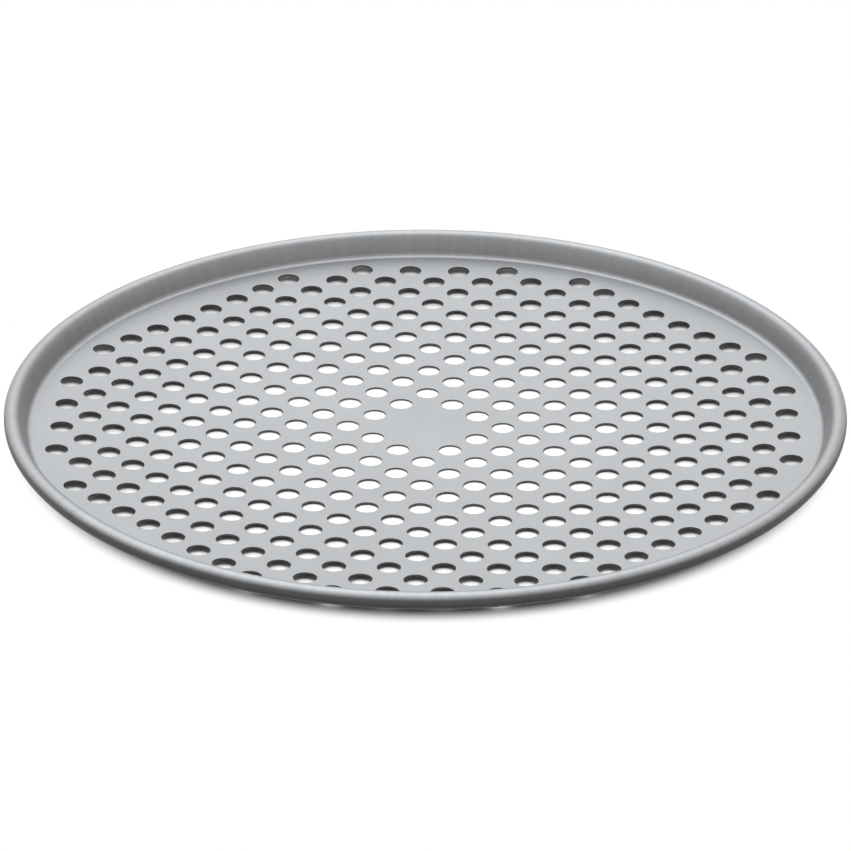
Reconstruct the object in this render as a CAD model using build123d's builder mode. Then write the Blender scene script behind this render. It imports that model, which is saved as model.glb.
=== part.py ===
from build123d import *
from math import acos, asin, atan2, cos, degrees, hypot, pi, sin, sqrt
import os

# A round perforated pizza pan: one pressed sheet with a slightly dished floor, whose rim is
# curled over a stiffening wire. Millimetres, +Z up. The origin is the middle of the flat
# seat under the floor, which is what the pan stands on.

# Overall sizes
outer_diameter = 356.0
overall_height = 15.0
sheet = 0.9

# Floor: a small flat seat in the middle, then a shallow dish out to the foot of the wall
seat_radius = 33.0
dish_rise = 3.75

# Wall and rim: the cove at the foot of the wall, the wall's run from the floor's edge out to
# the middle of the bead, and the bead curled over the wire
cove_radius = 2.5
wall_run = 7.8
wire_diameter = 4.8
wire_clearance = 0.2
tip_gap = 0.6
butt_gap = 0.8

# Holes: rows staggered at 45 degrees, with a bare middle and a bare border at the floor's edge
row_spacing = 10.97
hole_diameter = 9.6
hole_sides = 8
bare_middle_radius = 14.0
bare_border = 1.9
overrun = 2.0

# The bead is as thick as the wire, its clearance and the sheet round it
bead_radius = wire_diameter / 2 + wire_clearance + sheet
bead_centre = (outer_diameter / 2 - bead_radius, overall_height - bead_radius)
floor_radius = bead_centre[0] - wall_run

# The dish is part of a sphere, centred on the axis high above the seat
dish_height = (floor_radius**2 + dish_rise**2 - seat_radius**2) / (2 * dish_rise)
dish_radius = hypot(seat_radius, dish_height)
dish_centre = sheet + dish_height
dish_angle = asin(floor_radius / dish_radius)

# The wall is the straight line that leaves the cove and meets the bead, touching both
cove_centre = (
    floor_radius - cove_radius * sin(dish_angle),
    sheet + dish_rise + cove_radius * cos(dish_angle),
)
reach = hypot(bead_centre[0] - cove_centre[0], bead_centre[1] - cove_centre[1])
lean = atan2(bead_centre[1] - cove_centre[1], bead_centre[0] - cove_centre[0])
wall_angle = lean + asin((cove_radius + bead_radius) / reach)
wall_length = sqrt(reach**2 - (cove_radius + bead_radius) ** 2)

# The curl stops short of closing on the outside of the wall
curl_angle = 2 * pi - acos((bead_radius - sheet - tip_gap) / bead_radius)

# Angles in degrees
straight_down = -90
full_turn = 360


def sheet_face(depth):
    """Draws the sheet's section at a depth below its inside face, from the axis to the curl's tip."""
    level = sheet - depth
    radius = dish_radius + depth
    seat_edge = sqrt(radius**2 - (dish_centre - level) ** 2)
    dish_start = degrees(asin(seat_edge / radius))
    dish_end = degrees(dish_angle)
    Line((0, level), (seat_edge, level))
    dish = CenterArc((0, dish_centre), radius, straight_down + dish_start, dish_end - dish_start)
    cove = JernArc(dish @ 1, dish % 1, cove_radius + depth, degrees(wall_angle) - dish_end)
    wall = Line(cove @ 1, cove @ 1 + (cove % 1) * wall_length)
    curl = JernArc(wall @ 1, wall % 1, bead_radius - depth, -degrees(curl_angle))
    return curl @ 1


# The pressed and curled sheet, turned about its axis, then punched
with BuildPart() as pan_sheet:
    with BuildSketch(Plane.XZ) as section:
        with BuildLine() as outline:
            inside_tip = sheet_face(0)
            outside_tip = sheet_face(sheet)
            Line(inside_tip, outside_tip)
            Line((0, 0), (0, sheet))
        make_face()
    revolve(axis=Axis.Z)

    # Each punched hole is a many-sided opening with a round hole's area
    corner_radius = hole_diameter / 2 * sqrt(2 * pi / (hole_sides * sin(2 * pi / hole_sides)))
    nearest = bare_middle_radius + hole_diameter / 2
    farthest = floor_radius - bare_border - hole_diameter / 2
    last_row = int(farthest / row_spacing)
    rows = range(-last_row, last_row + 1)
    places = [
        (column * row_spacing, row * row_spacing)
        for row in rows
        for column in rows
        if (row + column) % 2 and nearest < hypot(column, row) * row_spacing < farthest
    ]
    with BuildSketch(Plane.XY.offset(-overrun)) as punch:
        with Locations(*places):
            RegularPolygon(corner_radius, hole_sides, rotation=full_turn / 2 / hole_sides)
    extrude(amount=dish_rise + sheet + 2 * overrun, mode=Mode.SUBTRACT)
pan_sheet.part.label = "pan_sheet"

# The rim wire: one rod bent into a ring, its ends butting at the back of the pan
gap_angle = degrees(butt_gap / bead_centre[0])
with BuildPart() as rim_wire:
    with BuildSketch(Plane.YZ.rotated((0, 0, -gap_angle / 2))) as rod:
        with Locations(bead_centre):
            Circle(wire_diameter / 2)
    revolve(axis=Axis.Z, revolution_arc=gap_angle - full_turn)
rim_wire.part.label = "rim_wire"

os.makedirs("parts", exist_ok=True)
export_step(pan_sheet.part, "parts/pan_sheet.step")
export_step(rim_wire.part, "parts/rim_wire.step")

print("wall angle", round(degrees(wall_angle), 1), "holes", len(places))
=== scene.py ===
"""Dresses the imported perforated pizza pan: round punched holes, a rolled rim and a satin coat.

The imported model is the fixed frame. The pan sheet gets a finer mesh of its own in the same
place, the rim wire inside the curl keeps its CAD shape, and a plain white studio stands round
them. Lengths are in metres, +Z up, with the origin on the floor under the pan's middle.
"""

import logging
from dataclasses import dataclass, field
from enum import Enum
from math import acos, asin, atan2, cos, degrees, hypot, pi, radians, sin

import bpy
import numpy as np
from mathutils import Matrix, Vector


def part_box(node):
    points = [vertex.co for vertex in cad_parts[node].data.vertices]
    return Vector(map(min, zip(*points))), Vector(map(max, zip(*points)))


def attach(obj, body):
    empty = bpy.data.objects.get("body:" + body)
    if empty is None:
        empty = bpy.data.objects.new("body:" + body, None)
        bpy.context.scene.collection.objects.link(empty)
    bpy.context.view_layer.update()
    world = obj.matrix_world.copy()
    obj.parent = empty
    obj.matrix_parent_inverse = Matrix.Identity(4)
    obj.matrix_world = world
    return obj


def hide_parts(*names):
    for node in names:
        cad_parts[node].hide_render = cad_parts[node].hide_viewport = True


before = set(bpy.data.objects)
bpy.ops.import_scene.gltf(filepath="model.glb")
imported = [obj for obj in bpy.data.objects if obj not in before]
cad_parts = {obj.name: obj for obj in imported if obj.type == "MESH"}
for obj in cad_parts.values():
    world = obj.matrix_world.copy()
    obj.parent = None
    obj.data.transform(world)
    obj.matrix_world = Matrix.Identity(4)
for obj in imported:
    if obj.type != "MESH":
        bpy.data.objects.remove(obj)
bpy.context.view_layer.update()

log = logging.getLogger("pizza_pan")

MM = 0.001
# Name of a point attribute: how far the colour is darkened as painted shade, 0 to 1
PAINTED_SHADE_ATTRIBUTE = "painted_shade"

# Most values of a noise lie in this span
NOISE_SPAN = (0.3, 0.7)

# Numbers of a Mix node's sockets, several of which share a name
FIRST_NUMBER, SECOND_NUMBER, MIXED_NUMBER = 2, 3, 0
FIRST_COLOUR, SECOND_COLOUR, MIXED_COLOUR = 6, 7, 2

Tree = bpy.types.NodeTree
Socket = bpy.types.NodeSocket


class Side(Enum):
    """The two faces of the sheet, by their depth as a share of its thickness."""

    INSIDE = 0.0
    UNDERSIDE = 1.0


class Ramp(Enum):
    """How a value runs from one end of a range to the other."""

    STRAIGHT = "LINEAR"
    SMOOTH = "SMOOTHSTEP"


@dataclass(frozen=True)
class Patch:
    """Part of a surface: points, outward normals, four-cornered faces and a painted shade.

    A face that repeats its last corner is a triangle. Painted shade is 0 where the coat keeps
    its own tone and 1 where its colour is darkened most, to stand in for shade.
    """

    points: np.ndarray
    normals: np.ndarray
    faces: np.ndarray
    painted_shade: np.ndarray


@dataclass(frozen=True)
class Ring:
    """A ring of points (x, y) about a place of the hole pattern.

    Depth is measured below the floor's inside. Turn is the angle from the floor's normal
    towards the place's axis at which the surface faces.
    """

    points: np.ndarray
    depth: float
    turn: float
    # How far the ring's colour is darkened as painted shade
    painted_shade: float


def grid_faces(rows: int, columns: int) -> np.ndarray:
    """Corner numbers of the faces of a grid whose columns close into a ring.

    Args:
        rows: number of rings of points.
        columns: number of points in each ring.

    Returns:
        Array of ((rows - 1) * columns, 4) corner numbers.
    """
    numbers = np.arange(rows * columns).reshape(rows, columns)
    onward = np.roll(numbers, -1, axis=1)
    corners = [numbers[:-1], onward[:-1], onward[1:], numbers[1:]]
    return np.stack(corners, axis=-1).reshape(-1, 4)


def smooth_step(value: np.ndarray, low: float, high: float) -> np.ndarray:
    """0 up to low, 1 from high on, and the curve 3t^2 - 2t^3 between them."""
    share = np.clip((value - low) / (high - low), 0, 1)
    return share * share * (3 - 2 * share)


def joined(patches: list[Patch]) -> Patch:
    """One patch from several, with their points still apart.

    Args:
        patches: the patches, in order.

    Returns:
        A patch whose corner numbers run on from each patch to the next.
    """
    starts = np.cumsum([0] + [len(patch.points) for patch in patches[:-1]])
    return Patch(
        np.concatenate([patch.points for patch in patches]),
        np.concatenate([patch.normals for patch in patches]),
        np.concatenate([patch.faces + start for patch, start in zip(patches, starts)]),
        np.concatenate([patch.painted_shade for patch in patches]),
    )


def welded(patch: Patch, grain: float = 0.001 * MM) -> Patch:
    """Merges points that fall in the same cell of a fine raster, and turns each face outwards.

    The raster is shifted by part of a cell, so that round numbers don't lie on its lines. A
    face's own normal is the cross product of its diagonals. Where that points against the
    mean normal of its corners, the corners are read backwards.

    Args:
        patch: the points, normals and faces to close up.
        grain: cell size of the raster, far below any real distance on the piece.

    Returns:
        The closed patch.
    """
    shift_share = 0.37
    keys = np.floor(patch.points / grain + shift_share).astype(np.int64)
    _, first, merged = np.unique(keys, axis=0, return_index=True, return_inverse=True)
    faces = merged.reshape(-1)[patch.faces]
    points, normals = patch.points[first], patch.normals[first]
    diagonal = points[faces[:, 2]] - points[faces[:, 0]]
    other = points[faces[:, 3]] - points[faces[:, 1]]
    facing = np.cross(diagonal, other)
    against = np.einsum("ij,ij->i", facing, normals[faces].sum(axis=1)) < 0
    triangle = faces[:, 2] == faces[:, 3]
    faces[against & ~triangle] = faces[against & ~triangle][:, ::-1]
    faces[against & triangle] = faces[against & triangle][:, [1, 0, 2, 2]]
    return Patch(points, normals, faces, patch.painted_shade[first])


def mesh_object(name: str, patch: Patch) -> bpy.types.Object:
    """Makes a smooth mesh object at the origin from a closed patch.

    Args:
        name: the piece's name.
        patch: its points in metres, with faces that point outwards.

    Returns:
        The new object, linked to the scene, with the painted shade as a point attribute.
    """
    triangle = patch.faces[:, 2] == patch.faces[:, 3]
    faces = patch.faces[~triangle].tolist() + patch.faces[triangle][:, :3].tolist()
    mesh = bpy.data.meshes.new(name)
    mesh.from_pydata(patch.points, [], faces)
    mesh.update()
    mesh.polygons.foreach_set("use_smooth", np.ones(len(faces), dtype=bool))
    mesh.normals_split_custom_set_from_vertices(patch.normals)
    attribute = mesh.attributes.new(PAINTED_SHADE_ATTRIBUTE, "FLOAT", "POINT")
    attribute.data.foreach_set("value", patch.painted_shade.astype(np.float32))
    piece = bpy.data.objects.new(name, mesh)
    bpy.context.scene.collection.objects.link(piece)
    return piece


@dataclass(frozen=True)
class PanSection:
    """The pan's section: a dish, a cove, a slightly bowed wall and a curl, all tangent in turn.

    The outer radius and the middle of the bead come from the frame. The wall's bow leaves the
    straight wall of the CAD by less than half the sheet's thickness.
    """

    outer_radius: float
    bead_middle: tuple[float, float]
    sheet: float = 0.9 * MM
    seat_radius: float = 33.0 * MM
    dish_rise: float = 3.75 * MM
    cove_radius: float = 2.5 * MM
    wall_run: float = 7.8 * MM
    foot_slope: float = radians(76)
    top_slope: float = radians(50)
    tip_gap: float = 0.6 * MM

    @property
    def bead_radius(self) -> float:
        """Outside radius of the curl."""
        return self.outer_radius - self.bead_middle[0]

    @property
    def floor_radius(self) -> float:
        """Where the dish ends and the cove begins."""
        return self.bead_middle[0] - self.wall_run

    @property
    def dish_height(self) -> float:
        """Height of the dish's centre above the inside of the seat."""
        spread = self.floor_radius**2 - self.seat_radius**2
        return (spread + self.dish_rise**2) / (2 * self.dish_rise)

    @property
    def dish_radius(self) -> float:
        """Radius of the sphere that the inside of the dish is part of."""
        return hypot(self.seat_radius, self.dish_height)

    @property
    def dish_slope(self) -> float:
        """Slope of the dish at its edge."""
        return asin(self.floor_radius / self.dish_radius)

    @property
    def cove_middle(self) -> tuple[float, float]:
        """Centre of the cove at the foot of the wall."""
        return (
            self.floor_radius - self.cove_radius * sin(self.dish_slope),
            self.sheet + self.dish_rise + self.cove_radius * cos(self.dish_slope),
        )

    @property
    def wall_slope(self) -> float:
        """Slope of the CAD's wall, which touches the cove from outside and the bead from inside."""
        run = self.bead_middle[0] - self.cove_middle[0]
        rise = self.bead_middle[1] - self.cove_middle[1]
        return atan2(rise, run) + asin((self.cove_radius + self.bead_radius) / hypot(run, rise))

    @property
    def curl_turn(self) -> float:
        """Turn of the curl, which stops short of the outside of the wall."""
        return 2 * pi - acos((self.bead_radius - self.sheet - self.tip_gap) / self.bead_radius)

    def level(self, reach: np.ndarray, depth: float | np.ndarray) -> np.ndarray:
        """Height of the floor at a depth below its inside: the dish's sphere or the seat, the higher."""
        sphere = self.sheet + self.dish_height - np.sqrt((self.dish_radius + depth) ** 2 - reach**2)
        return np.maximum(sphere, self.sheet - depth)

    def upward(self, flat: np.ndarray) -> np.ndarray:
        """Unit normals of the floor's inside: towards the sphere's centre, or up on the seat.

        Args:
            flat: points (x, y), along the last axis.

        Returns:
            Array of the same shape with (x, y, z) along the last axis.
        """
        reach = np.linalg.norm(flat, axis=-1, keepdims=True)
        lean = np.where(reach > self.seat_radius, flat / self.dish_radius, 0.0)
        rise = np.sqrt(1 - np.sum(lean**2, axis=-1, keepdims=True))
        return np.concatenate([-lean, rise], axis=-1)

    def stroke(self, side: Side, cove: int, wall: int, curl: int) -> tuple[np.ndarray, np.ndarray]:
        """Points and normals of one face of the sheet, from the dish's edge to the curl's tip.

        A point on an arc is its centre plus or minus the radius along (-sin a, cos a), where a
        is the slope of the sheet there. The slope grows along the cove and falls along the wall
        and the curl. The underside lies one thickness along the normal from the inside.

        Args:
            side: which face of the sheet.
            cove: number of steps along the cove.
            wall: number of steps along the wall.
            curl: number of steps along the curl.

        Returns:
            Two arrays of (points, 2): radius and height, and the inside normal at each.
        """
        tip = self.sheet / 2 / (self.bead_radius - self.sheet / 2)
        slopes = np.linspace(self.dish_slope, self.foot_slope, cove + 1)
        turns = np.linspace(self.top_slope, self.wall_slope - self.curl_turn + tip, curl + 1)
        cove_up = np.stack([-np.sin(slopes), np.cos(slopes)], axis=-1)
        curl_up = np.stack([-np.sin(turns), np.cos(turns)], axis=-1)
        cove_line = np.array(self.cove_middle) - self.cove_radius * cove_up
        curl_line = np.array(self.bead_middle) + self.bead_radius * curl_up
        shares = np.linspace(0, 1, wall + 1)[1:-1, None]
        wall_line, wall_up = self.bowed_wall(cove_line[-1], curl_line[0], shares)
        line = np.concatenate([cove_line, wall_line, curl_line])
        up = np.concatenate([cove_up, wall_up, curl_up])
        return line - side.value * self.sheet * up, up

    def bowed_wall(
        self, foot: np.ndarray, top: np.ndarray, shares: np.ndarray
    ) -> tuple[np.ndarray, np.ndarray]:
        """Points and normals of the wall: a parabola that leaves the cove and meets the bead.

        With t the share along it, a point is (1-t)^2 foot + 2t(1-t) corner + t^2 top, where the
        corner is where the tangents at both ends cross.

        Args:
            foot: end of the cove.
            top: start of the curl.
            shares: column of shares along the wall.

        Returns:
            Two arrays of (points, 2): radius and height, and the inside normal at each.
        """
        leaving = np.array([cos(self.foot_slope), sin(self.foot_slope)])
        meeting = np.array([cos(self.top_slope), sin(self.top_slope)])
        span = top - foot
        length = (span[0] * meeting[1] - span[1] * meeting[0]) / sin(self.top_slope - self.foot_slope)
        corner = foot + length * leaving
        points = (1 - shares) ** 2 * foot + 2 * shares * (1 - shares) * corner + shares**2 * top
        along = (1 - shares) * (corner - foot) + shares * (top - corner)
        along = along / np.linalg.norm(along, axis=1, keepdims=True)
        return points, np.stack([-along[:, 1], along[:, 0]], axis=-1)

    def tip(self, steps: int) -> tuple[np.ndarray, np.ndarray]:
        """Points and outward normals of the curl's rounded end, a half circle across the sheet.

        A point is the middle of the sheet's end plus half the thickness along the direction
        that turns from the inside normal, past the end, to the underside's.

        Args:
            steps: number of steps along the half circle.

        Returns:
            Two arrays of (steps - 1, 2), without the ends, which the sheet's two faces have.
        """
        outer, up = self.stroke(Side.INSIDE, 1, 1, 1)
        normal = up[-1]
        along = np.array([normal[1], -normal[0]])
        turn = np.linspace(0, pi, steps + 1)[1:-1, None]
        outward = np.cos(turn) * normal + np.sin(turn) * along
        return outer[-1] - normal * self.sheet / 2 + outward * self.sheet / 2, outward


@dataclass(frozen=True)
class HolePattern:
    """Round holes in rows staggered at 45 degrees, with a bare middle and a bare border.

    The plane is tiled by diamonds, one round each place of the pattern, so that neighbouring
    diamonds share the points of their common side.
    """

    row_spacing: float = 10.97 * MM
    diameter: float = 9.6 * MM
    bare_middle_radius: float = 14.0 * MM
    bare_border: float = 1.9 * MM
    top_edge: float = 0.22 * MM
    bottom_edge: float = 0.1 * MM
    # Painted shade on the hole walls, the underside and the curl's turned-down part
    deep_painted_shade: float = 0.88
    steps: int = 24
    same_point: float = 0.01 * MM

    def places(self, floor_radius: float) -> tuple[np.ndarray, np.ndarray]:
        """Whole-number places of the holes, and of the plain diamonds in the middle.

        Args:
            floor_radius: radius of the floor that carries the holes.

        Returns:
            Two arrays of (places, 2) whole numbers, in rows.
        """
        last = int(floor_radius / self.row_spacing)
        line = np.arange(-last, last + 1)
        spots = np.stack(np.meshgrid(line, line), axis=-1).reshape(-1, 2)
        spots = spots[spots.sum(axis=1) % 2 == 1]
        reach = np.linalg.norm(spots, axis=1) * self.row_spacing
        inner = reach < self.bare_middle_radius + self.diameter / 2
        outer = reach > floor_radius - self.bare_border - self.diameter / 2
        return spots[~inner & ~outer], spots[inner]

    @property
    def around(self) -> np.ndarray:
        """Unit vectors round a hole."""
        turn = np.arange(self.steps) * 2 * pi / self.steps
        return np.stack([np.cos(turn), np.sin(turn)], axis=-1)

    @property
    def diamond(self) -> np.ndarray:
        """Points on the diamond round a place: where |x| + |y| is one row spacing."""
        return self.around * self.row_spacing / np.abs(self.around).sum(axis=1, keepdims=True)

    def rings(self, sheet: float) -> list[Ring]:
        """The rings from the inside's diamond over the hole's rounded edge to the underside's.

        The edge is a quarter circle, with a ring at its start, its middle and its end, and the
        underside's edge is a small chamfer.

        Args:
            sheet: thickness of the sheet.

        Returns:
            The rings in order. Their turn grows from straight up to straight down.
        """
        radius = self.diameter / 2
        half = pi / 4
        bend, deep_shade = self.top_edge, self.deep_painted_shade
        mid_radius, mid_depth = radius + bend * (1 - sin(half)), bend * (1 - cos(half))
        return [
            Ring(self.diamond, 0.0, 0.0, 0.0),
            Ring(self.around * (radius + bend), 0.0, 0.0, 0.0),
            Ring(self.around * mid_radius, mid_depth, half, 0.0),
            # From the hole's wall down, the colour is darkened as painted shade
            Ring(self.around * radius, bend, 2 * half, deep_shade),
            Ring(self.around * radius, sheet - self.bottom_edge, 2 * half, deep_shade),
            Ring(self.around * (radius + self.bottom_edge), sheet, 4 * half, deep_shade),
            Ring(self.diamond, sheet, 4 * half, deep_shade),
        ]

    def outline(self, spots: np.ndarray) -> np.ndarray:
        """Points round the outside of all the diamonds together, in order of their angle.

        A diamond's side lies on the outside where no other diamond is across it.

        Args:
            spots: whole-number places of every diamond.

        Returns:
            Array of (points, 2).
        """
        corners = np.array([(1, 1), (-1, 1), (-1, -1), (1, -1)])
        side = self.steps // len(corners)
        taken = {tuple(spot) for spot in spots.tolist()}
        pieces = []
        for number, corner in enumerate(corners):
            free = np.array([tuple(spot) not in taken for spot in (spots + corner).tolist()])
            stretch = np.take(self.diamond, np.arange(side + 1) + number * side, axis=0, mode="wrap")
            pieces.append((spots[free][:, None] * self.row_spacing + stretch).reshape(-1, 2))
        points = np.concatenate(pieces)
        _, first = np.unique(np.round(points / self.same_point), axis=0, return_index=True)
        points = points[first]
        return points[np.argsort(np.arctan2(points[:, 1], points[:, 0]))]


@dataclass
class PanSheet:
    """The pressed, punched and curled sheet, as one closed surface.

    The tilts at which the painted shade on the wall and the curl starts and is full are measured
    from straight up.
    """

    section: PanSection
    holes: HolePattern = field(default_factory=HolePattern)
    edge_margin: float = 0.6 * MM
    border_rows: int = 3
    cove_steps: int = 5
    wall_steps: int = 6
    curl_steps: int = 24
    tip_steps: int = 4
    # Painted shade: a little on the steep wall and deep on the curl's turned-down part, with the tilts at
    # which each starts and is full
    wall_painted_shade: float = 0.15
    wall_shade_starts: float = radians(25)
    wall_shade_full: float = radians(62)
    curl_shade_starts: float = radians(42)
    curl_shade_deep: float = radians(72)
    curl_darkest: float = radians(110)

    def kept_on_floor(self, flat: np.ndarray) -> np.ndarray:
        """Draws points (x, y) that reach past the floor's edge in along their radius."""
        limit = self.section.floor_radius - self.edge_margin
        return flat * limit / np.maximum(np.linalg.norm(flat, axis=-1, keepdims=True), limit)

    def cells(self, spots: np.ndarray, rings: list[Ring]) -> Patch:
        """One diamond of floor round each place, carried through a list of rings.

        Each point is the place plus the ring's point, at the floor's height for that depth. Its
        normal is the floor's, turned towards the place's axis by the ring's angle.

        Args:
            spots: whole-number places.
            rings: the rings, each joined to the next by faces.

        Returns:
            The patch of all the cells, still apart.
        """
        shape = np.stack([ring.points for ring in rings])
        depth = np.array([ring.depth for ring in rings])[:, None]
        turn = np.array([ring.turn for ring in rings])[:, None, None]
        shaded = np.array([ring.painted_shade for ring in rings])[:, None]
        flat = self.kept_on_floor(spots[:, None, None] * self.holes.row_spacing + shape)
        reach = np.linalg.norm(flat, axis=-1)
        points = np.concatenate([flat, self.section.level(reach, depth)[..., None]], axis=-1)
        inward = np.concatenate([-self.holes.around, np.zeros((self.holes.steps, 1))], axis=1)
        normals = np.cos(turn) * self.section.upward(flat) + np.sin(turn) * inward
        faces = grid_faces(len(rings), self.holes.steps)
        size = len(rings) * self.holes.steps
        starts = np.arange(len(spots))[:, None, None] * size
        painted_shade = np.broadcast_to(shaded, reach.shape)
        return Patch(
            points.reshape(-1, 3),
            normals.reshape(-1, 3),
            (faces + starts).reshape(-1, 4),
            painted_shade.reshape(-1),
        )

    def border(self, edge: np.ndarray, side: Side) -> Patch:
        """The bare border: straight out from the outermost diamonds to the floor's edge.

        A point lies at a share of the way from the diamonds' reach to the floor's, on the
        same radius.

        Args:
            edge: points (x, y) round the outside of the diamonds.
            side: which face of the sheet.

        Returns:
            The patch of that face's border.
        """
        depth = side.value * self.section.sheet
        end = self.section.floor_radius + depth * sin(self.section.dish_slope)
        reach = np.linalg.norm(edge, axis=1)
        shares = np.linspace(0, 1, self.border_rows + 1)[:, None]
        radius = reach + shares * (end - reach)
        flat = edge / reach[:, None] * radius[..., None]
        points = np.concatenate([flat, self.section.level(radius, depth)[..., None]], axis=-1)
        normals = self.section.upward(flat) * (1 - 2 * side.value)
        # The underside is darkened as painted shade
        painted_shade = np.full(radius.size, side.value * self.holes.deep_painted_shade)
        faces = grid_faces(*radius.shape)
        return Patch(points.reshape(-1, 3), normals.reshape(-1, 3), faces, painted_shade)

    @staticmethod
    def turned(line: np.ndarray, outward: np.ndarray) -> np.ndarray:
        """Turns (radius, height) pairs about the axis: radius times a unit vector, and height.

        Args:
            line: array of (points, 2).
            outward: array of (directions, 2) unit vectors.

        Returns:
            Array of (points * directions, 3).
        """
        flat = line[:, None, :1] * outward
        heights = np.broadcast_to(line[:, None, 1:], (len(line), len(outward), 1))
        return np.concatenate([flat, heights], axis=-1).reshape(-1, 3)

    def rim(self, edge: np.ndarray) -> Patch:
        """Cove, wall, curl, tip and back again, turned about the axis at the border's angles.

        Args:
            edge: points (x, y) round the border, of which only the direction counts.

        Returns:
            The patch of both faces of the rim.
        """
        steps = (self.cove_steps, self.wall_steps, self.curl_steps)
        inside, up = self.section.stroke(Side.INSIDE, *steps)
        tip, out = self.section.tip(self.tip_steps)
        under, down = self.section.stroke(Side.UNDERSIDE, *steps)
        line = np.concatenate([inside, tip, under[::-1]])
        normal = np.concatenate([up, out, -down[::-1]])
        outward = edge / np.linalg.norm(edge, axis=1, keepdims=True)
        # The curl's tip and the rim's underside are darkened as painted shade
        hidden = np.full(len(tip) + len(under), self.holes.deep_painted_shade)
        painted_shade = np.repeat(np.concatenate([self.painted_shade_of_inside(up), hidden]), len(edge))
        faces = grid_faces(len(line), len(edge))
        return Patch(self.turned(line, outward), self.turned(normal, outward), faces, painted_shade)

    def painted_shade_of_inside(self, up: np.ndarray) -> np.ndarray:
        """Painted shade along the inside, from the outward tilt of the normal, which grows along it.

        The steep wall is darkened a little, and the curl from where it turns down is darkened
        deeply, darkest under it, all as painted shade; the top of the bead keeps the coat's tone.
        Each change is a smooth step between two tilts.

        Args:
            up: array of (points, 2), the inside normals from the cove to the curl's tip.

        Returns:
            Array of (points,), the painted shade at each.
        """
        tilt = np.unwrap(np.arctan2(up[:, 0], up[:, 1]))
        # The steep wall is darkened a little, as painted shade
        on_wall = self.wall_painted_shade * smooth_step(-tilt, self.wall_shade_starts, self.wall_shade_full)
        deep_shade = self.holes.deep_painted_shade
        # The curl is darkened as painted shade from where it turns down, darkest under it
        turned = deep_shade * smooth_step(tilt, self.curl_shade_starts, self.curl_shade_deep)
        under = (1 - deep_shade) * smooth_step(tilt, self.curl_shade_deep, self.curl_darkest)
        return np.maximum(on_wall, turned + under)

    def build(self) -> bpy.types.Object:
        """Makes the whole sheet as one closed mesh.

        Returns:
            The sheet's object, with no material yet.
        """
        holes, plain = self.holes.places(self.section.floor_radius)
        edge = self.kept_on_floor(self.holes.outline(np.concatenate([holes, plain])))
        rings = self.holes.rings(self.section.sheet)
        point = self.holes.around * 0
        above = Ring(point, 0.0, 0.0, 0.0)
        # The underside's lids are darkened as painted shade
        below = Ring(point, self.section.sheet, pi, self.holes.deep_painted_shade)
        patches = [self.cells(holes, rings)]
        patches += [self.cells(plain, lid) for lid in ([rings[0], above], [rings[-1], below])]
        patches += [self.border(edge, side) for side in Side]
        patches.append(self.rim(edge))
        whole = welded(joined(patches))
        log.info("pan sheet: %d holes, %d points, %d faces", len(holes), len(whole.points), len(whole.faces))
        return mesh_object("pan_sheet_finished", whole)


def maths(tree: Tree, kind: str, operation: str, *values: Socket | float | tuple) -> bpy.types.Node:
    """Adds a node that works on numbers or vectors, and fills its sockets in order.

    Args:
        tree: the node tree that it goes in.
        kind: Math for numbers or VectorMath for vectors.
        operation: what the node does.
        values: for each socket, another node's output or a plain value.

    Returns:
        The node.
    """
    node = tree.nodes.new("ShaderNode" + kind)
    node.operation = operation
    for socket, value in zip(node.inputs, values):
        if isinstance(value, Socket):
            tree.links.new(value, socket)
        else:
            socket.default_value = value
    return node


def ranged(
    tree: Tree, value: Socket, ramp: Ramp, source: tuple[float, float], result: tuple[float, float] = (0, 1)
) -> Socket:
    """Carries a number from one range to another, and holds it at the ends.

    Args:
        tree: the node tree that it goes in.
        value: the number.
        ramp: how it runs between the ends.
        source: the range that it comes from.
        result: the range that it goes to.

    Returns:
        The number in its new range.
    """
    node = tree.nodes.new("ShaderNodeMapRange")
    node.interpolation_type = ramp.value
    node.inputs["From Min"].default_value, node.inputs["From Max"].default_value = source
    node.inputs["To Min"].default_value, node.inputs["To Max"].default_value = result
    tree.links.new(value, node.inputs["Value"])
    return node.outputs["Result"]


def noise(tree: Tree, place: Socket, size: float, detail: float) -> Socket:
    """Adds a noise between 0 and 1.

    Args:
        tree: the node tree that it goes in.
        place: where it is read.
        size: about how far its features are apart, in the units of the place.
        detail: how many finer layers it has.

    Returns:
        The noise's value.
    """
    node = tree.nodes.new("ShaderNodeTexNoise")
    node.inputs["Scale"].default_value = 1 / size
    node.inputs["Detail"].default_value = detail
    tree.links.new(place, node.inputs["Vector"])
    return node.outputs["Fac"]


def spread(tree: Tree, value: Socket, middle: float, width: float) -> Socket:
    """Stretches the span of a noise to run from one width below a middle to one above it."""
    return ranged(tree, value, Ramp.STRAIGHT, NOISE_SPAN, (middle - width, middle + width))


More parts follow.
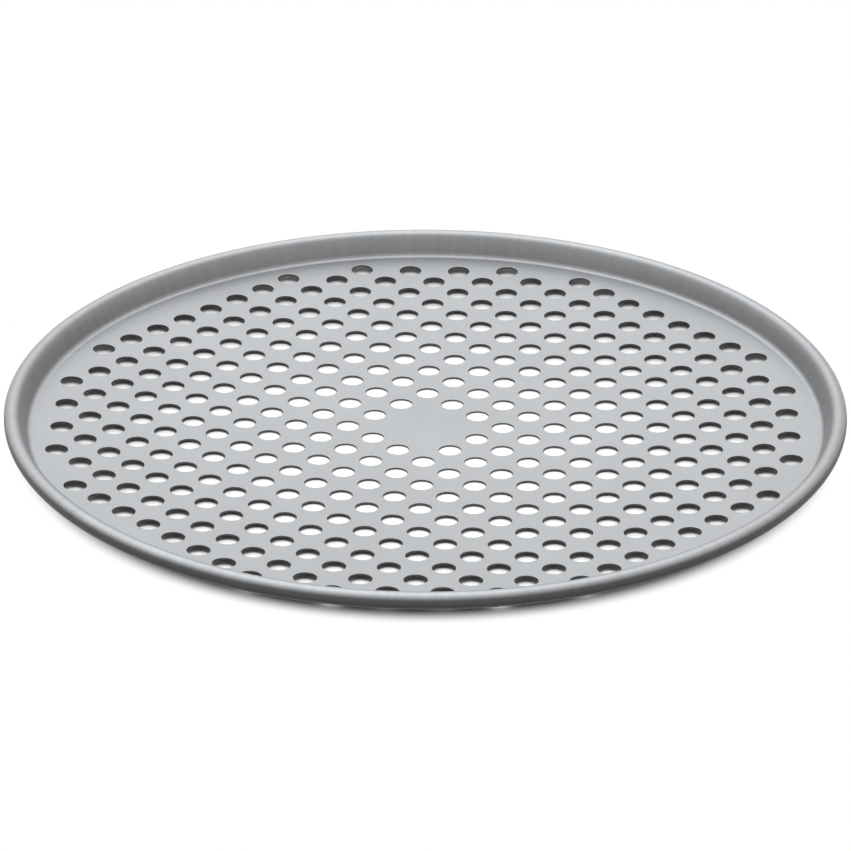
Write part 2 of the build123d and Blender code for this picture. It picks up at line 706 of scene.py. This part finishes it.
@dataclass(frozen=True)
class CoatedSteel:
    """A satin silver-grey coat on steel, with a fine fleck, faint smudges and draw lines.

    Painted shade from the mesh's attribute darkens the colour towards near-black. Each spread
    is how far a noise takes the tone, or the roughness, to either side.
    """

    name: str = "coated_steel"
    coat: tuple[float, float, float] = (0.424, 0.435, 0.446)
    # Colour at full painted shade
    shaded: tuple[float, float, float] = (0.052, 0.053, 0.055)
    roughness: float = 0.46
    roughness_spread: float = 0.03
    fleck_size: float = 0.5 * MM
    fleck_depth: float = 0.02 * MM
    fleck_detail: float = 2.0
    fleck_strength: float = 0.5
    fleck_spread: float = 0.04
    smudge_size: float = 45 * MM
    smudge_detail: float = 6.0
    smudge_spread: float = 0.03
    streak_angle: float = 0.02
    streak_detail: float = 5.0
    streak_spread: float = 0.05
    streaks_from: float = 165 * MM
    streaks_whole: float = 169 * MM

    def build(self) -> bpy.types.Material:
        """Makes the material: smudged colour darkened by painted shade, flecked roughness and a fine bump.

        Returns:
            The material, for a mesh that has a painted shade attribute.
        """
        material = bpy.data.materials.new(self.name)
        material.use_nodes = True
        tree = material.node_tree
        shader = tree.nodes["Principled BSDF"]
        shader.inputs["Metallic"].default_value = 1.0
        place = tree.nodes.new("ShaderNodeTexCoord").outputs["Object"]
        fleck = noise(tree, place, self.fleck_size, self.fleck_detail)
        smudge = noise(tree, place, self.smudge_size, self.smudge_detail)
        # The coat's colour is mixed towards near-black by the painted shade attribute
        painted_shade = tree.nodes.new("ShaderNodeAttribute")
        painted_shade.attribute_name = PAINTED_SHADE_ATTRIBUTE
        tone = tree.nodes.new("ShaderNodeMix")
        tone.data_type = "RGBA"
        tone.inputs[FIRST_COLOUR].default_value = (*self.coat, 1)
        tone.inputs[SECOND_COLOUR].default_value = (*self.shaded, 1)
        tree.links.new(painted_shade.outputs["Fac"], tone.inputs["Factor"])
        shade = spread(tree, smudge, 1.0, self.smudge_spread)
        grain = spread(tree, fleck, 1.0, self.fleck_spread)
        colour = tone.outputs[MIXED_COLOUR]
        for factor in (shade, grain, self.streaks(tree, place)):
            tinted = maths(tree, "VectorMath", "SCALE", colour)
            tree.links.new(factor, tinted.inputs["Scale"])
            colour = tinted.outputs[0]
        tree.links.new(colour, shader.inputs["Base Color"])
        rough = spread(tree, fleck, self.roughness, self.roughness_spread)
        tree.links.new(rough, shader.inputs["Roughness"])
        bump = tree.nodes.new("ShaderNodeBump")
        bump.inputs["Distance"].default_value = self.fleck_depth
        bump.inputs["Strength"].default_value = self.fleck_strength
        tree.links.new(fleck, bump.inputs["Height"])
        tree.links.new(bump.outputs[0], shader.inputs["Normal"])
        return material

    def streaks(self, tree: Tree, place: Socket) -> Socket:
        """Fine draw lines up the wall and over the bead, where the sheet was pulled.

        The noise is read at the direction from the axis, (x, y, 0) made one long, so that it
        stays the same up the wall. It fades in across the cove, and is 1 on the floor.

        Args:
            tree: the material's node tree.
            place: Object coordinates.

        Returns:
            A factor for the colour.
        """
        flat = maths(tree, "VectorMath", "MULTIPLY", place, (1, 1, 0)).outputs[0]
        outward = maths(tree, "VectorMath", "NORMALIZE", flat).outputs[0]
        reach = maths(tree, "VectorMath", "LENGTH", flat).outputs["Value"]
        pulled = noise(tree, outward, self.streak_angle, self.streak_detail)
        mixed = tree.nodes.new("ShaderNodeMix")
        mixed.inputs[FIRST_NUMBER].default_value = 1.0
        tree.links.new(spread(tree, pulled, 1.0, self.streak_spread), mixed.inputs[SECOND_NUMBER])
        on_wall = ranged(tree, reach, Ramp.SMOOTH, (self.streaks_from, self.streaks_whole))
        tree.links.new(on_wall, mixed.inputs["Factor"])
        return mixed.outputs[MIXED_NUMBER]


@dataclass(frozen=True)
class DrawnWire:
    """Plain drawn steel rod, with a fine grain."""

    name: str = "drawn_wire"
    colour: tuple[float, float, float] = (0.45, 0.455, 0.46)
    roughness: float = 0.4
    roughness_spread: float = 0.08
    grain_size: float = 0.6 * MM
    grain_detail: float = 2.0

    def build(self) -> bpy.types.Material:
        """Makes the material: a metal whose roughness follows a fine noise.

        Returns:
            The material.
        """
        material = bpy.data.materials.new(self.name)
        material.use_nodes = True
        tree = material.node_tree
        shader = tree.nodes["Principled BSDF"]
        shader.inputs["Metallic"].default_value = 1.0
        shader.inputs["Base Color"].default_value = (*self.colour, 1)
        place = tree.nodes.new("ShaderNodeTexCoord").outputs["Object"]
        grain = noise(tree, place, self.grain_size, self.grain_detail)
        rough = spread(tree, grain, self.roughness, self.roughness_spread)
        tree.links.new(rough, shader.inputs["Roughness"])
        return material


@dataclass
class Studio:
    """White floor, a soft white room with a glow, a lamp for the floor alone, and the camera.

    The angles are in degrees and the light is in shares of an even white sky's. Names that end
    in px are pixels of the photograph, whose width and height are the image's width.
    """

    floor_radius: float = 12.0
    floor_points: int = 96
    elevation: float = 26.26
    azimuth: float = 1.49
    roll: float = 0.143
    distance: float = 1931.0 * MM
    aim_height: float = 0.9 * MM
    sight: float = 48.0
    sensor_width: float = 36.0
    image_width: float = 851.0
    focal_px: float = 4546.8
    aim_px: tuple[float, float] = (425.4, 426.6)
    room: float = 0.66
    glow: float = 1.65
    glow_power: float = 4.5
    glow_middle: tuple[float, float, float] = (-0.12, 0.42, 0.90)
    lamp_place: tuple[float, float, float] = (0.0, -400 * MM, 840 * MM)
    lamp_size: float = 560 * MM
    lamp_share: float = 1.1
    paper: float = 0.55
    shadow_behind: float = 4 * MM
    shadow_fades: float = 165 * MM
    shadow_ends: float = 177 * MM

    def floor(self) -> bpy.types.Object:
        """A large white disc on which the pan stands.

        Returns:
            The floor, marked as stage.
        """
        turn = np.linspace(0, 2 * pi, self.floor_points, endpoint=False)
        ring = np.stack([np.cos(turn), np.sin(turn), 0 * turn], axis=-1) * self.floor_radius
        mesh = bpy.data.meshes.new("floor")
        mesh.from_pydata(ring, [], [list(range(len(ring)))])
        floor = bpy.data.objects.new("floor", mesh)
        bpy.context.scene.collection.objects.link(floor)
        material = bpy.data.materials.new("white_floor")
        material.use_nodes = True
        self.whiten(material.node_tree)
        mesh.materials.append(material)
        return floor

    def whiten(self, tree: Tree) -> None:
        """White paper: lit and shaded under the pan, and even white beyond its shadow.

        The shadow fades out across a ring whose middle lies a little behind the pan's. Only
        what the camera, the metal and glass see of the paper is made white.

        Args:
            tree: the node tree of the floor's material, which is emptied first.
        """
        tree.nodes.clear()
        paper = tree.nodes.new("ShaderNodeBsdfDiffuse")
        paper.inputs["Color"].default_value = (self.paper, self.paper, self.paper, 1)
        white = tree.nodes.new("ShaderNodeEmission")
        place = tree.nodes.new("ShaderNodeTexCoord").outputs["Object"]
        shifted = maths(tree, "VectorMath", "SUBTRACT", place, (0, self.shadow_behind, 0)).outputs[0]
        reach = maths(tree, "VectorMath", "LENGTH", shifted).outputs["Value"]
        fade = ranged(tree, reach, Ramp.SMOOTH, (self.shadow_fades, self.shadow_ends))
        path = tree.nodes.new("ShaderNodeLightPath")
        seen = path.outputs["Is Camera Ray"]
        for ray in ("Is Glossy Ray", "Is Transmission Ray"):
            seen = maths(tree, "Math", "ADD", seen, path.outputs[ray]).outputs[0]
        mixed = tree.nodes.new("ShaderNodeMixShader")
        share = maths(tree, "Math", "MULTIPLY", seen, fade).outputs[0]
        for socket, source in zip(mixed.inputs, (share, paper.outputs[0], white.outputs[0])):
            tree.links.new(source, socket)
        output = tree.nodes.new("ShaderNodeOutputMaterial")
        tree.links.new(mixed.outputs[0], output.inputs["Surface"])

    def light(self) -> None:
        """A soft white room with a broad glow high at the back, a little to the left.

        The light is room + glow * u ** glow_power, where u is the cosine of the angle between
        a direction and the glow's middle, and 0 on the far side of it.
        """
        world = bpy.data.worlds.new("studio")
        bpy.context.scene.world = world
        world.use_nodes = True
        tree = world.node_tree
        direction = tree.nodes.new("ShaderNodeTexCoord").outputs["Generated"]
        middle = tuple(Vector(self.glow_middle).normalized())
        value = maths(tree, "VectorMath", "DOT_PRODUCT", direction, middle).outputs["Value"]
        steps = (("MAXIMUM", 0.0), ("POWER", self.glow_power), ("MULTIPLY", self.glow), ("ADD", self.room))
        for operation, number in steps:
            value = maths(tree, "Math", operation, value, number).outputs[0]
        sky = tree.nodes["Background"]
        sky.inputs["Color"].default_value = (1, 1, 1, 1)
        tree.links.new(value, sky.inputs["Strength"])

    def lamp(self, floor: bpy.types.Object) -> bpy.types.Object:
        """A broad soft lamp on the camera's side that lights the floor alone.

        It draws the tight shadow under the rim and the bright patches seen through the holes.
        Light linking keeps it off the pan. Its power is its share of an even white sky's light
        on the floor, times pi squared, the distance cubed and one over the height.

        Args:
            floor: the one object that the lamp lights.

        Returns:
            The lamp.
        """
        place = Vector(self.lamp_place)
        data = bpy.data.lights.new("front_lamp", "AREA")
        data.shape = "DISK"
        data.size = self.lamp_size
        data.energy = self.lamp_share * pi**2 * place.length**3 / place.z
        lamp = bpy.data.objects.new("front_lamp", data)
        lamp.location = place
        lamp.rotation_euler = (-place).to_track_quat("-Z", "Y").to_euler()
        lamp.visible_camera = False
        lamp.visible_glossy = False
        bpy.context.scene.collection.objects.link(lamp)
        lit = bpy.data.collections.new("lit_by_front_lamp")
        lit.objects.link(floor)
        lamp.light_linking.receiver_collection = lit
        return lamp

    def camera(self) -> bpy.types.Object:
        """The photograph's camera, from a fit to the holes and the rim.

        The view's centre line runs from the camera to the middle of the floor, at the given
        elevation. Azimuth turns the camera about the pan's axis from straight in front towards
        +X, and roll turns it about its own centre line.

        Returns:
            The camera, set as the scene's.
        """
        up, turn, roll = radians(self.elevation), radians(self.azimuth), radians(self.roll)
        back = Vector((sin(turn) * cos(up), -cos(turn) * cos(up), sin(up)))
        level = Vector((cos(turn), sin(turn), 0))
        upright = back.cross(level)
        right = cos(roll) * level + sin(roll) * upright
        above = cos(roll) * upright - sin(roll) * level
        data = bpy.data.cameras.new("camera")
        data.sensor_width = self.sensor_width
        data.lens = self.focal_px / self.image_width * data.sensor_width
        data.shift_x = (self.image_width / 2 - self.aim_px[0]) / self.image_width
        data.shift_y = (self.aim_px[1] - self.image_width / 2) / self.image_width
        data.clip_end = self.sight
        camera = bpy.data.objects.new("camera", data)
        spot = Vector((0, 0, self.aim_height)) + back * self.distance
        camera.matrix_world = Matrix.Translation(spot) @ Matrix((right, above, back)).transposed().to_4x4()
        bpy.context.scene.collection.objects.link(camera)
        bpy.context.scene.camera = camera
        return camera


def section_from_frame() -> PanSection:
    """Takes the pan's outside from its CAD node and the middle of the bead from the wire.

    Returns:
        The section that fits the frame.
    """
    _, sheet_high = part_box("pan_sheet")
    wire_low, wire_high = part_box("rim_wire")
    wire_radius = (wire_high.z - wire_low.z) / 2
    middle = (wire_high.x - wire_radius, wire_high.z - wire_radius)
    return PanSection(sheet_high.x, middle)


def main() -> None:
    """Builds the studio and the pan, and reports each piece."""
    logging.basicConfig(level=logging.INFO, format="%(name)s: %(message)s")
    bpy.context.scene.view_settings.view_transform = "Standard"
    studio = Studio()
    studio.camera()
    studio.light()
    studio.lamp(studio.floor())
    section = section_from_frame()
    log.info("outer radius %.4f, bead radius %.5f", section.outer_radius, section.bead_radius)
    log.info("slope of the CAD's wall %.1f degrees", degrees(section.wall_slope))
    pan = PanSheet(section).build()
    pan.data.materials.append(CoatedSteel().build())
    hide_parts("pan_sheet")
    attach(pan, "root")
    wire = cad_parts["rim_wire"]
    wire_finish = DrawnWire().build()
    if wire.material_slots:
        wire.material_slots[0].material = wire_finish
    else:
        wire.data.materials.append(wire_finish)
    log.info("rim wire: the CAD node, with its own finish")


if __name__ == "__main__":
    main()
